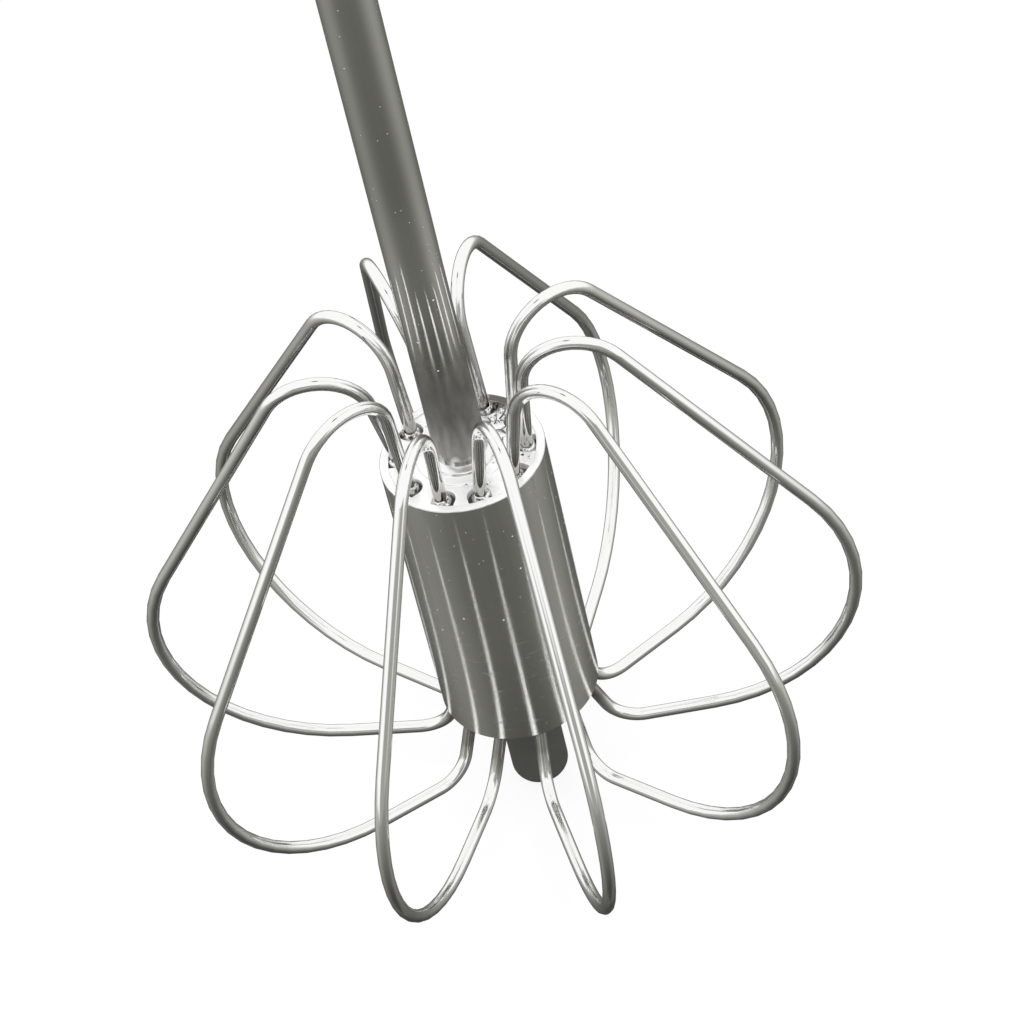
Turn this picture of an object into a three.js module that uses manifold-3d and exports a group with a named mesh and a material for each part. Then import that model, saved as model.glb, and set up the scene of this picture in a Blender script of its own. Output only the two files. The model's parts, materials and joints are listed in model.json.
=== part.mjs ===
// Rotary push whisk: a head of bent wire loops that spins when its handle is pushed down.
// A flat strip, twisted along its length, hangs in the handle and runs down through a slotted nut on top of the
// hollow shaft. As the shaft slides up into the handle the strip turns it, and a spring pushes it out again.
// Millimetres, +Z up along the shaft, origin at the middle of the tip's lower end.

import * as THREE from 'three';
import { mergeVertices } from 'three/addons/utils/BufferGeometryUtils.js';
import Module from 'manifold-3d';

const wasm = await Module();
wasm.setup();

// Clearances: between seated pieces, and round the pieces that turn inside the handle
const seatGap = 0.3;
const slotGap = 0.35;
const runningGap = 1.7;

// Wire loops. Each has three corners, where its straight runs would meet, and a bend radius for each.
const loopCount = 10;
const wireDiameter = 1.6;
const wireTail = 2;
const wireLead = 0.8;
const leadBend = 6;
const crownLean = 3.1;
const crownRise = 27.4;
const crownBend = 6.5;
const rimSpread = 53.8;
const rimDrop = 5;
const rimBend = 22;
const footLean = 3.5;
const footDrop = 9.25;
const footBend = 4.8;

// How far each hand-bent loop strays from the common shape: sideways at its crown, rim and foot,
// upwards at its crown and outwards at its rim
const loopStrays = [
  { crown: -1.5, rim: 0.5, foot: 0, lift: 0, reach: 0 },
  { crown: -1.5, rim: 0.5, foot: 0, lift: -0.5, reach: -0.5 },
  { crown: 2.5, rim: 0.5, foot: -2, lift: 1.5, reach: -0.5 },
  { crown: 4, rim: -0.5, foot: 0, lift: 1, reach: 1 },
  { crown: -1.5, rim: 4, foot: 0, lift: -2.5, reach: 1 },
  { crown: 4, rim: -1.5, foot: -2, lift: 0, reach: -0.5 },
  { crown: 4.5, rim: -0.5, foot: 0.5, lift: 3.5, reach: -2 },
  { crown: 2.5, rim: 0, foot: -1.5, lift: -2.5, reach: 0 },
  { crown: 3, rim: -2.5, foot: -1.5, lift: -3, reach: 2.5 },
  { crown: 3, rim: -2.5, foot: -2, lift: -3, reach: 2 },
];

// Hub
const hubDiameter = 20;
const hubHeight = 40.5;
const hubWall = 1.1;
const hubChamfer = 0.25;
const plateThickness = 4;
const plateRecess = 0.1;
const notchSlack = 0.45;
const collarWall = 0.8;
const collarHeight = 0.7;

// Shaft and tip
const shaftDiameter = 6.4;
const shaftWall = 0.6;
const tipClearance = 8;
const tipLip = 0.45;
const tipRound = 2.2;
const tipStem = 12;

// Spiral drive and spring
const stroke = 60;
const stripThickness = 1.2;
const stripLead = 40;
const stripTail = 13;
const nutSocket = 6.5;
const nutWeb = 4.5;
const nutScrewDiameter = 2.5;
const seatThickness = 1.8;
const pilotHeight = 2;
const pilotGap = 0.6;
const springWire = 1;
const springCoils = 16;
const springSpare = 14;

// Handle
const handleClearance = 8.6;
const handleDiameter = 20;
const handleWall = 0.8;
const bushFlange = 3;
const bushSpigot = 10;
const bushRound = 1.2;
const bushScrewDiameter = 2;
const bushScrewLength = 4;
const screwHeadWall = 0.9;
const screwHeadHeight = 1.1;
const anchorHeight = 10;
const rivetDiameter = 2.5;
const rivetHeadWall = 0.95;
const rivetHeadHeight = 1;
const capSpigot = 5;
const capSide = 3;
const capDome = 6;
const hangWire = 2.4;
const hangWidth = 12;
const hangHeight = 20;
const hangBend = 5.5;
const hangDepth = 5;

// Facets: sides of round pieces and of wires, and the turn of one step round a bend or along the strip
const hubSides = 48;
const roundSides = 36;
const shaftSides = 24;
const pinSides = 16;
const wireSides = 8;
const bendStep = THREE.MathUtils.degToRad(15);
const twistStep = THREE.MathUtils.degToRad(12);
const springSides = 5;
const springSteps = 10;

// Radii that follow from the sizes above
const wireRadius = wireDiameter / 2;
const hubRadius = hubDiameter / 2;
const hubBore = hubRadius - hubWall;
const plateRadius = hubBore - seatGap;
const wireCircle = hubBore - seatGap - wireRadius;
const notchRadius = wireRadius + notchSlack;
const shaftRadius = shaftDiameter / 2;
const shaftBore = shaftRadius - shaftWall;
const shaftHole = shaftRadius + seatGap;
const stripReach = shaftBore - seatGap;
const stripWidth = 2 * Math.sqrt(stripReach ** 2 - (stripThickness / 2) ** 2);
const handleRadius = handleDiameter / 2;
const handleBore = handleRadius - handleWall;
const spigotRadius = handleBore - seatGap;
const nutRadius = handleBore - runningGap;
const springRadius = (stripReach + handleBore) / 2;
const pilotRadius = springRadius - springWire / 2 - pilotGap;

// Heights, from the tip upwards, with the whisk at rest
const hubBottom = footDrop + tipClearance;
const hubTop = hubBottom + hubHeight;
const shaftBottom = hubBottom + plateRecess;
const bushBottom = hubTop + crownRise + stroke + handleClearance;
const tubeBottom = bushBottom + bushFlange + seatGap;
const bushTop = tubeBottom + bushSpigot;
const nutBottom = bushTop + seatGap;
const webBottom = nutBottom + nutSocket;
const nutTop = webBottom + nutWeb;
const shaftTop = webBottom - seatGap;
const seatBottom = nutTop + seatGap;
const seatTop = seatBottom + seatThickness;
const springBottom = seatTop + seatGap;
const springTop = springBottom + springCoils * springWire + stroke + springSpare;
const anchorBottom = springTop + seatGap;
const anchorTop = anchorBottom + anchorHeight;
const capBottom = anchorTop + seatGap;
const tubeTop = capBottom + capSpigot;
const capRim = tubeTop + seatGap;
const capTop = capRim + capSide + capDome;
const stripBottom = webBottom - stripTail;
const twistTop = anchorBottom - pilotHeight;
const stripTop = anchorTop - seatGap;
const rivetHeight = (anchorBottom + anchorTop) / 2;
const bushScrewHeight = tubeBottom + bushSpigot / 2;
const nutScrewHeight = nutBottom + nutSocket / 2;

const polishedSteel = new THREE.MeshStandardMaterial({ color: 0xd6d6d2, roughness: 0.15, metalness: 1 });
const satinSteel = new THREE.MeshStandardMaterial({ color: 0x8c8c88, roughness: 0.3, metalness: 1 });
const springSteel = new THREE.MeshStandardMaterial({ color: 0x77777a, roughness: 0.35, metalness: 1 });
const brass = new THREE.MeshStandardMaterial({ color: 0xb8995a, roughness: 0.35, metalness: 1 });
const darkNylon = new THREE.MeshStandardMaterial({ color: 0x45463f, roughness: 0.55, metalness: 0 });

// Booleans

function solidOf(geometry) {
  const bare = geometry.clone();
  bare.deleteAttribute('normal');
  bare.deleteAttribute('uv');
  const welded = mergeVertices(bare, 1e-4);
  const corners = welded.index.array;
  const triangles = [];
  for (let i = 0; i < corners.length; i += 3) {
    const [a, b, c] = corners.subarray(i, i + 3);
    if (a !== b && b !== c && c !== a) {
      triangles.push(a, b, c);
    }
  }
  const vertProperties = new Float32Array(welded.attributes.position.array);
  const triVerts = new Uint32Array(triangles);
  return new wasm.Manifold(new wasm.Mesh({ numProp: 3, vertProperties, triVerts }));
}

function cut(body, ...cutters) {
  const solid = cutters.reduce((rest, cutter) => rest.subtract(solidOf(cutter)), solidOf(body));
  const { vertProperties, triVerts } = solid.getMesh();
  return indexedGeometry(vertProperties, triVerts);
}

function indexedGeometry(positions, triangles) {
  const geometry = new THREE.BufferGeometry();
  geometry.setAttribute('position', new THREE.Float32BufferAttribute(positions, 3));
  geometry.setIndex(Array.from(triangles));
  geometry.computeVertexNormals();
  return geometry;
}

// Basic forms

// A solid of revolution about Z, from [radius, height] corners that run counter-clockwise from axis to axis
function turned(profile, sides = roundSides) {
  const points = profile.map(([radius, height]) => new THREE.Vector2(radius, height));
  return new THREE.LatheGeometry(points, sides).rotateX(Math.PI / 2);
}

// The same with a bore, from corners that close on themselves
function turnedRing(profile, sides = roundSides) {
  return turned([...profile, profile[0]], sides);
}

function rod(radius, bottom, top) {
  return turned([[0, bottom], [radius, bottom], [radius, top], [0, top]], pinSides);
}

// Corners of a quarter round, as [radius, height], from the angle start to the angle end in degrees
function roundCorner(centre, height, across, rise, start, end, steps = 5) {
  const corners = [];
  for (let i = 0; i <= steps; i += 1) {
    const angle = THREE.MathUtils.degToRad(start + (end - start) * i / steps);
    corners.push([centre + across * Math.cos(angle), height + rise * Math.sin(angle)]);
  }
  return corners;
}

function circle(radius, sides) {
  const shape = new THREE.Shape();
  for (let i = 0; i < sides; i += 1) {
    const angle = 2 * Math.PI * i / sides;
    const place = [radius * Math.cos(angle), radius * Math.sin(angle)];
    if (i === 0) {
      shape.moveTo(...place);
    } else {
      shape.lineTo(...place);
    }
  }
  return shape;
}

// The centre line of a bent wire: straight runs between corners, with a round bend at each inner corner.
// A bend that its runs are too short for is made tighter.
class BentWire extends THREE.Curve {
  constructor(corners, bends) {
    super();
    const runs = corners.slice(1).map((corner, i) => corner.clone().sub(corners[i]));
    const ways = runs.map((run) => run.clone().normalize());
    const turns = bends.map((bend, i) => ways[i].angleTo(ways[i + 1]));
    const setbacks = [0, ...bends.map((bend, i) => bend * Math.tan(turns[i] / 2)), 0];
    const shares = runs.map((run, i) => Math.min(1, 0.98 * run.length() / (setbacks[i] + setbacks[i + 1])));
    this.points = [corners[0]];
    bends.forEach((bend, i) => {
      const setback = setbacks[i + 1] * Math.min(shares[i], shares[i + 1]);
      const start = corners[i + 1].clone().addScaledVector(ways[i], -setback);
      const axis = ways[i].clone().cross(ways[i + 1]).normalize();
      const inward = axis.clone().cross(ways[i]);
      const centre = start.clone().addScaledVector(inward, setback / Math.tan(turns[i] / 2));
      const steps = Math.max(2, Math.round(turns[i] / bendStep));
      for (let step = 0; step <= steps; step += 1) {
        const spoke = start.clone().sub(centre).applyAxisAngle(axis, turns[i] * step / steps);
        this.points.push(spoke.add(centre));
      }
    });
    this.points.push(corners[corners.length - 1]);
  }

  getPoint(t, target = new THREE.Vector3()) {
    const place = t * (this.points.length - 1);
    const index = Math.min(Math.floor(place), this.points.length - 2);
    return target.lerpVectors(this.points[index], this.points[index + 1], place - index);
  }

  getUtoTmapping(u) {
    return u;
  }
}

function wire(diameter, corners, bends) {
  const path = new BentWire(corners, bends);
  const section = circle(diameter / 2, wireSides);
  return new THREE.ExtrudeGeometry(section, { steps: path.points.length - 1, extrudePath: path });
}

class Coil extends THREE.Curve {
  constructor(radius, bottom, top, coils) {
    super();
    Object.assign(this, { radius, bottom, top, coils });
  }

  getPoint(t, target = new THREE.Vector3()) {
    const angle = 2 * Math.PI * this.coils * t;
    const height = this.bottom + (this.top - this.bottom) * t;
    return target.set(this.radius * Math.cos(angle), this.radius * Math.sin(angle), height);
  }

  getUtoTmapping(u) {
    return u;
  }
}

// The strip's turn about Z at a height: its top end is flat, with its width along Y
function stripTurn(height) {
  return Math.PI / 2 + 2 * Math.PI * Math.min(0, height - twistTop) / stripLead;
}

// A flat bar between two heights that follows the strip's twist, as [width, thickness] corners in rings
function twistedBar(width, thickness, bottom, top) {
  const section = [[1, -1], [1, 1], [0, 1], [-1, 1], [-1, -1], [0, -1]];
  const count = section.length;
  const twistEnd = Math.min(top, twistTop);
  const steps = Math.ceil((twistEnd - bottom) * 2 * Math.PI / stripLead / twistStep);
  const heights = Array.from({ length: steps + 1 }, (_, i) => bottom + (twistEnd - bottom) * i / steps);
  if (top > twistTop) {
    heights.push(top);
  }
  const positions = [];
  for (const height of heights) {
    const turn = stripTurn(height);
    for (const [along, across] of section) {
      const corner = new THREE.Vector2(along * width / 2, across * thickness / 2);
      corner.rotateAround(new THREE.Vector2(), turn);
      positions.push(corner.x, corner.y, height);
    }
  }
  const last = count * (heights.length - 1);
  const triangles = [];
  for (let base = 0; base < last; base += count) {
    for (let j = 0; j < count; j += 1) {
      const a = base + j;
      const b = base + (j + 1) % count;
      triangles.push(a, b, b + count, a, b + count, a + count);
    }
  }
  for (const [j, k] of [[3, 4], [4, 5], [5, 0], [0, 1]]) {
    triangles.push(2, k, j);
    triangles.push(last + 2, last + j, last + k);
  }
  return indexedGeometry(positions, triangles);
}

// Whisk head

function wireLoop(index) {
  const stray = loopStrays[index % loopStrays.length];
  const azimuth = 2 * Math.PI * index / loopCount;
  const tail = plateRecess + plateThickness + wireTail;
  const place = (out, aside, height) => new THREE.Vector3(out, aside, height).applyAxisAngle(
    new THREE.Vector3(0, 0, 1),
    azimuth,
  );
  const corners = [
    place(wireCircle, 0, hubTop - tail),
    place(wireCircle, 0, hubTop + wireLead),
    place(wireCircle + crownLean, stray.crown, hubTop + crownRise + stray.lift),
    place(wireCircle + rimSpread + stray.reach, stray.rim, hubBottom - rimDrop),
    place(wireCircle + footLean, stray.foot, hubBottom - footDrop),
    place(wireCircle, 0, hubBottom - wireLead),
    place(wireCircle, 0, hubBottom + tail),
  ];
  return wire(wireDiameter, corners, [leadBend, crownBend, rimBend, footBend, leadBend]);
}

function hubSleeve() {
  return turnedRing([
    [hubBore, hubBottom],
    [hubRadius - hubChamfer, hubBottom],
    [hubRadius, hubBottom + hubChamfer],
    [hubRadius, hubTop - hubChamfer],
    [hubRadius - hubChamfer, hubTop],
    [hubBore, hubTop],
  ], hubSides);
}

// A disc with a notch for each wire, open to the sleeve, and a hole for the shaft
function hubPlate(bottom) {
  const notchHalf = Math.asin(notchRadius / plateRadius);
  const outline = new THREE.Shape();
  for (let i = 0; i < loopCount; i += 1) {
    const azimuth = 2 * Math.PI * i / loopCount;
    const next = azimuth + 2 * Math.PI / loopCount;
    const centre = [wireCircle * Math.cos(azimuth), wireCircle * Math.sin(azimuth)];
    outline.absarc(...centre, notchRadius, azimuth - Math.PI / 2, azimuth - 3 * Math.PI / 2, true);
    outline.absarc(0, 0, plateRadius, azimuth + notchHalf, next - notchHalf, false);
  }
  outline.holes.push(circle(shaftHole, shaftSides));
  const settings = { depth: plateThickness, bevelEnabled: false, curveSegments: 2 };
  return new THREE.ExtrudeGeometry(outline, settings).translate(0, 0, bottom);
}

function hubCollar() {
  const bottom = hubTop - plateRecess + seatGap;
  const top = bottom + collarHeight;
  const outer = shaftHole + collarWall;
  return turnedRing([
    [shaftHole, bottom],
    [outer, bottom],
    [outer, bottom + collarHeight / 3],
    [outer - collarWall / 2, top],
    [shaftHole, top],
  ], shaftSides);
}

function shaftTube() {
  return turnedRing([
    [shaftBore, shaftBottom],
    [shaftRadius, shaftBottom],
    [shaftRadius, shaftTop],
    [shaftBore, shaftTop],
  ], shaftSides);
}

// A rounded head below the shaft, and a stem inside it
function footTip() {
  const headRadius = shaftRadius + tipLip;
  const headTop = shaftBottom - seatGap;
  const stemTop = shaftBottom + tipStem;
  return turned([
    [0, 0],
    ...roundCorner(headRadius - tipRound, tipRound, tipRound, tipRound, -90, 0),
    [headRadius, headTop],
    [stripReach, headTop],
    [stripReach, stemTop],
    [0, stemTop],
  ], shaftSides);
}

// Spiral drive

function driveStrip() {
  const bar = twistedBar(stripWidth, stripThickness, stripBottom, stripTop);
  return cut(bar, rivetHole());
}

function driveNut() {
  const body = turned([
    [0, webBottom],
    [shaftHole, webBottom],
    [shaftHole, nutBottom],
    [nutRadius, nutBottom],
    [nutRadius, nutTop],
    [0, nutTop],
  ], shaftSides);
  const slot = twistedBar(stripWidth + 2 * slotGap, stripThickness + 2 * slotGap, shaftTop, seatBottom);
  const screwHole = rod(nutScrewDiameter / 2 + seatGap, 0, handleRadius);
  screwHole.rotateY(Math.PI / 2).translate(0, 0, nutScrewHeight);
  return cut(body, slot, screwHole);
}

function nutScrew() {
  const screw = rod(nutScrewDiameter / 2, shaftHole, nutRadius);
  return screw.rotateY(Math.PI / 2).translate(0, 0, nutScrewHeight);
}

// A washer under the spring, with a pilot that centres it
function springSeat() {
  const bore = stripReach + 2 * seatGap;
  return turnedRing([
    [bore, seatBottom],
    [nutRadius, seatBottom],
    [nutRadius, seatTop],
    [pilotRadius, seatTop],
    [pilotRadius, seatTop + pilotHeight],
    [bore, seatTop + pilotHeight],
  ], shaftSides);
}

function returnSpring() {
  const halfWire = springWire / 2;
  const path = new Coil(springRadius, springBottom + halfWire, springTop - halfWire, springCoils);
  const section = circle(halfWire, springSides);
  return new THREE.ExtrudeGeometry(section, { steps: springCoils * springSteps, extrudePath: path });
}

// Handle

function rivetHole() {
  const hole = rod(rivetDiameter / 2 + seatGap, -handleDiameter, handleDiameter);
  return hole.rotateY(Math.PI / 2).translate(0, 0, rivetHeight);
}

function bushScrewHole() {
  const end = spigotRadius - bushScrewLength - seatGap;
  const hole = rod(bushScrewDiameter / 2 + seatGap, end, handleDiameter);
  return hole.rotateX(-Math.PI / 2).translate(0, 0, bushScrewHeight);
}

function handleTube() {
  const tube = turnedRing([
    [handleBore, tubeBottom],
    [handleRadius, tubeBottom],
    [handleRadius, tubeTop],
    [handleBore, tubeTop],
  ]);
  return cut(tube, rivetHole(), bushScrewHole());
}

function guideBush() {
  const flangeTop = bushBottom + bushFlange;
  const bush = turnedRing([
    [shaftHole, bushBottom],
    ...roundCorner(handleRadius - bushRound, bushBottom + bushRound, bushRound, bushRound, -90, 0, 3),
    [handleRadius, flangeTop],
    [spigotRadius, flangeTop],
    [spigotRadius, bushTop],
    [shaftHole, bushTop],
  ]);
  return cut(bush, bushScrewHole());
}

function bushScrew() {
  const shank = bushScrewDiameter / 2;
  const head = shank + screwHeadWall;
  const headBottom = handleRadius + seatGap;
  const screw = turned([
    [0, spigotRadius - bushScrewLength],
    [shank, spigotRadius - bushScrewLength],
    [shank, headBottom],
    [head, headBottom],
    ...roundCorner(0, headBottom + screwHeadHeight / 2, head, screwHeadHeight / 2, 0, 90, 3),
  ], pinSides);
  return screw.rotateX(-Math.PI / 2).translate(0, 0, bushScrewHeight);
}

// A plug with a slot for the strip's flat end, and a pilot that centres the spring's top
function stripAnchor() {
  const pilotBottom = anchorBottom - pilotHeight;
  const plug = turned([
    [0, pilotBottom],
    [pilotRadius, pilotBottom],
    [pilotRadius, anchorBottom],
    [spigotRadius, anchorBottom],
    [spigotRadius, anchorTop],
    [0, anchorTop],
  ]);
  const slotHeight = 2 * (anchorTop - pilotBottom);
  const slot = new THREE.BoxGeometry(stripThickness + 2 * slotGap, stripWidth + 2 * slotGap, slotHeight);
  slot.translate(0, 0, rivetHeight);
  return cut(plug, slot, rivetHole());
}

function anchorRivet() {
  const shank = rivetDiameter / 2;
  const head = shank + rivetHeadWall;
  const reach = handleRadius + seatGap;
  const rivet = turned([
    ...roundCorner(0, -reach, head, rivetHeadHeight, -90, 0, 3),
    [shank, -reach],
    [shank, reach],
    ...roundCorner(0, reach, head, rivetHeadHeight, 0, 90, 3),
  ], pinSides);
  return rivet.rotateY(Math.PI / 2).translate(0, 0, rivetHeight);
}

function handleCap() {
  const cap = turned([
    [0, capBottom],
    [spigotRadius, capBottom],
    [spigotRadius, capRim],
    [handleRadius, capRim],
    ...roundCorner(0, capRim + capSide, handleRadius, capDome, 0, 90),
  ]);
  const holes = [-1, 1].map((side) => {
    const hole = rod(hangWire / 2 + seatGap, capTop - capDome - hangDepth - seatGap, capTop + capDome);
    return hole.translate(side * hangWidth / 2, 0, 0);
  });
  return cut(cap, ...holes);
}

function hangLoop() {
  const half = hangWidth / 2;
  const bottom = capTop - capDome - hangDepth;
  const top = capTop + hangHeight;
  const corners = [
    new THREE.Vector3(-half, 0, bottom),
    new THREE.Vector3(-half, 0, top),
    new THREE.Vector3(half, 0, top),
    new THREE.Vector3(half, 0, bottom),
  ];
  return wire(hangWire, corners, [hangBend, hangBend]);
}

// Assembly

function addPiece(group, name, geometry, material) {
  const piece = new THREE.Mesh(geometry, material);
  piece.name = name;
  group.add(piece);
}

const head = new THREE.Group();
for (let i = 0; i < loopCount; i += 1) {
  addPiece(head, `wire_loop_${i + 1}`, wireLoop(i), polishedSteel);
}
addPiece(head, 'hub_sleeve', hubSleeve(), satinSteel);
addPiece(head, 'hub_top_plate', hubPlate(hubTop - plateRecess - plateThickness), polishedSteel);
addPiece(head, 'hub_bottom_plate', hubPlate(hubBottom + plateRecess), polishedSteel);
addPiece(head, 'hub_collar', hubCollar(), polishedSteel);
addPiece(head, 'shaft_tube', shaftTube(), satinSteel);
addPiece(head, 'foot_tip', footTip(), darkNylon);

const drive = new THREE.Group();
addPiece(drive, 'drive_strip', driveStrip(), satinSteel);
addPiece(drive, 'drive_nut', driveNut(), brass);
addPiece(drive, 'nut_screw', nutScrew(), springSteel);
addPiece(drive, 'spring_seat', springSeat(), darkNylon);
addPiece(drive, 'return_spring', returnSpring(), springSteel);

const handle = new THREE.Group();
addPiece(handle, 'handle_tube', handleTube(), satinSteel);
addPiece(handle, 'guide_bush', guideBush(), darkNylon);
addPiece(handle, 'bush_screw', bushScrew(), polishedSteel);
addPiece(handle, 'strip_anchor', stripAnchor(), darkNylon);
addPiece(handle, 'anchor_rivet', anchorRivet(), polishedSteel);
addPiece(handle, 'handle_cap', handleCap(), darkNylon);
addPiece(handle, 'hang_loop', hangLoop(), polishedSteel);

const whisk = new THREE.Group();
whisk.name = 'rotary_push_whisk';
whisk.add(head, drive, handle);

export default whisk;
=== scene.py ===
import json
import math
import random

import bmesh
import bpy
from mathutils import Matrix, Vector


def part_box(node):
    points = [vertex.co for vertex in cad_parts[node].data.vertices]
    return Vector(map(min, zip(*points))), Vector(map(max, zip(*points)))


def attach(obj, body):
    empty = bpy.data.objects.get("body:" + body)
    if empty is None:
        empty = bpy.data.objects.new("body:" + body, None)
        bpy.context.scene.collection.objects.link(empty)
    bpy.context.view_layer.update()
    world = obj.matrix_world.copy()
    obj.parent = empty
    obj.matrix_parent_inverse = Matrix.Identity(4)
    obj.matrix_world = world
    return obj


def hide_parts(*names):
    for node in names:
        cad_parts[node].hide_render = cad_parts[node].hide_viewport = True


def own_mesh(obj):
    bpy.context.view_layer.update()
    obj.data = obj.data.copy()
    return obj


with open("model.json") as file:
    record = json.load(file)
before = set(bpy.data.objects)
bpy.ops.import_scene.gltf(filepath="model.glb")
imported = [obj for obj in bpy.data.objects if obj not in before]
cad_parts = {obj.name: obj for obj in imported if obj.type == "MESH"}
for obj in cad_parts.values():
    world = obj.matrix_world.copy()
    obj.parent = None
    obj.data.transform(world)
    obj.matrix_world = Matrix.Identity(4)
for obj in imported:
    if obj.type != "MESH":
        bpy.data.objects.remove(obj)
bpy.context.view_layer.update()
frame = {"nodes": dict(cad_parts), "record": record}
mm = 0.001  # the dictionaries are in millimetres and degrees, unless they say metres
fullTurn = 2 * math.pi
sharpAngle = math.radians(35)  # steeper edges stay sharp
tiny = 1e-7  # metres; closer points are one point
scene = bpy.context.scene
scene.view_settings.view_transform = "Standard"
hubLow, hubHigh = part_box("hub_sleeve")
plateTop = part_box("hub_top_plate")[1].z
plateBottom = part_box("hub_bottom_plate")[0].z
print("frame loaded,", len(frame["nodes"]), "nodes")


class Flow:
    # one socket of a node tree, so that sums of sockets read as Python

    def __init__(self, tree, socket=None):
        self.tree = tree
        self.socket = socket

    def node(self, kind, sockets=None, output=0, **settings):
        made = self.tree.nodes.new(kind)
        for name, value in settings.items():
            setattr(made, name, value)
        for name, value in (sockets or {}).items():
            if isinstance(value, Flow):
                self.tree.links.new(value.socket, made.inputs[name])
            else:
                made.inputs[name].default_value = value
        return Flow(self.tree, made.outputs[output] if made.outputs else None)

    def out(self, name):
        return Flow(self.tree, self.socket.node.outputs[name])

    def maths(self, operation, first, second):
        return self.node("ShaderNodeMath", {0: first, 1: second}, operation=operation)

    def most(self, other):
        return self.maths("MAXIMUM", self, other)

    def least(self, other):
        return self.maths("MINIMUM", self, other)

    def __add__(self, other):
        return self.maths("ADD", self, other)

    def __radd__(self, other):
        return self.maths("ADD", other, self)

    def __sub__(self, other):
        return self.maths("SUBTRACT", self, other)

    def __rsub__(self, other):
        return self.maths("SUBTRACT", other, self)

    def __mul__(self, other):
        return self.maths("MULTIPLY", self, other)

    def __rmul__(self, other):
        return self.maths("MULTIPLY", other, self)

    def __truediv__(self, other):
        return self.maths("DIVIDE", self, other)

    def __rtruediv__(self, other):
        return self.maths("DIVIDE", other, self)

    def __lt__(self, other):
        return self.maths("LESS_THAN", self, other)


def polar(reach, angle):
    return reach * math.cos(angle), reach * math.sin(angle)


def ringAngles(count):
    return [fullTurn * i / count for i in range(count)]


def heightOf(place):
    return place.node("ShaderNodeSeparateXYZ", {0: place}, output="Z")


def lengthOf(vector):
    return vector.node("ShaderNodeVectorMath", {0: vector}, output="Value", operation="LENGTH")


# materials: every one reads Object coordinates, in metres
# a noise is given as scale, detail and stretch, and a bump as strength and depth

def newMaterial(name, metallic, colour):
    material = bpy.data.materials.new(name)
    material.use_nodes = True
    shader = material.node_tree.nodes["Principled BSDF"]
    shader.inputs["Metallic"].default_value = metallic
    shader.inputs["Base Color"].default_value = colour
    coords = Flow(material.node_tree).node("ShaderNodeTexCoord", output="Object")
    return material, shader, coords


def plug(shader, flows):
    for name, flow in flows.items():
        flow.tree.links.new(flow.socket, shader.inputs[name])


def noise(coords, scale, detail=2, stretch=(1, 1, 1)):
    spread = coords.node("ShaderNodeMapping", {"Vector": coords, "Scale": stretch})
    return coords.node("ShaderNodeTexNoise", {"Vector": spread, "Scale": scale, "Detail": detail})


def between(value, low, high):
    return value.node("ShaderNodeMapRange", {"Value": value, "From Min": low, "From Max": high})


def betweenMm(value, limits):
    return between(value, *(limit * mm for limit in limits))


def mixColour(factor, first, second):
    sockets = {0: factor, 6: first, 7: second}
    return factor.node("ShaderNodeMix", sockets, output=2, data_type="RGBA")


def bump(height, strength, depth):
    sockets = {"Height": height, "Strength": strength, "Distance": depth * mm}
    return height.node("ShaderNodeBump", sockets)


# small bright pits and dust, in a few cells of a loose lattice
def specks(coords, spacing, size, share):
    sockets = {"Vector": coords, "Scale": 1 / (spacing * mm)}
    cells = coords.node("ShaderNodeTexVoronoi", sockets, output="Distance")
    pick = cells.node("ShaderNodeSeparateColor", {"Color": cells.out("Color")})
    return (cells < size / spacing) * (pick < share)


wireFinish = {
    "colour": (0.95, 0.95, 0.94, 1),
    "burnt": (0.42, 0.415, 0.395, 1),  # beside the welds
    "over": (5.5, 1.5),  # millimetres over the hub where the burnt skin ends and where it is full
    "under": (6.5, 3.5),  # the same under the hub
    "reach": (11.5, 10),  # and from the shaft's axis
    "ragged": 3,
    "smear": (420, 3),
    "roughness": 0.07,
    "waver": 0.05,
    "dents": (160,),
    "bump": (0.02, 0.1),
}


def polishedWire():
    finish = wireFinish
    material, shader, coords = newMaterial("polishedWire", 1, finish["colour"])
    smear = noise(coords, *finish["smear"])
    flat = coords.node("ShaderNodeVectorMath", {0: coords, 1: (1, 1, 0)}, operation="MULTIPLY")
    height = heightOf(coords) + (smear - 0.5) * finish["ragged"] * mm
    over = betweenMm(height - hubHigh.z, finish["over"])
    under = betweenMm(hubLow.z - height, finish["under"])
    burn = over * under * betweenMm(lengthOf(flat), finish["reach"])
    plug(shader, {
        "Base Color": mixColour(burn, finish["colour"], finish["burnt"]),
        "Roughness": finish["roughness"] + smear * finish["waver"],
        "Normal": bump(noise(coords, *finish["dents"]), *finish["bump"]),
    })
    return material


brightFinish = {
    "colour": (0.97, 0.97, 0.965, 1),
    "dull": (0.92, 0.92, 0.91, 1),
    "frosted": 0.2,  # metallic share of the hub's sawn and pressed faces
    "stain": (700, 3),
    "stained": (0.55, 0.75),
    "roughness": 0.2,
    "stainRough": 0.15,
    "pits": (520, 3),
    "bump": (0.07, 0.25),
}
# a dark patch of painted shade on the back of the rim, near one weld
rimShadeShape = {
    "azimuth": 62,  # degrees
    "reach": 9.3,
    "radius": (2.4, 1.4),  # millimetres from its middle where the painted shade ends and where it is full
    "edge": (900, 4),
    "ragged": 1.6,
    "colour": (0.1, 0.098, 0.085, 1),
}
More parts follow.
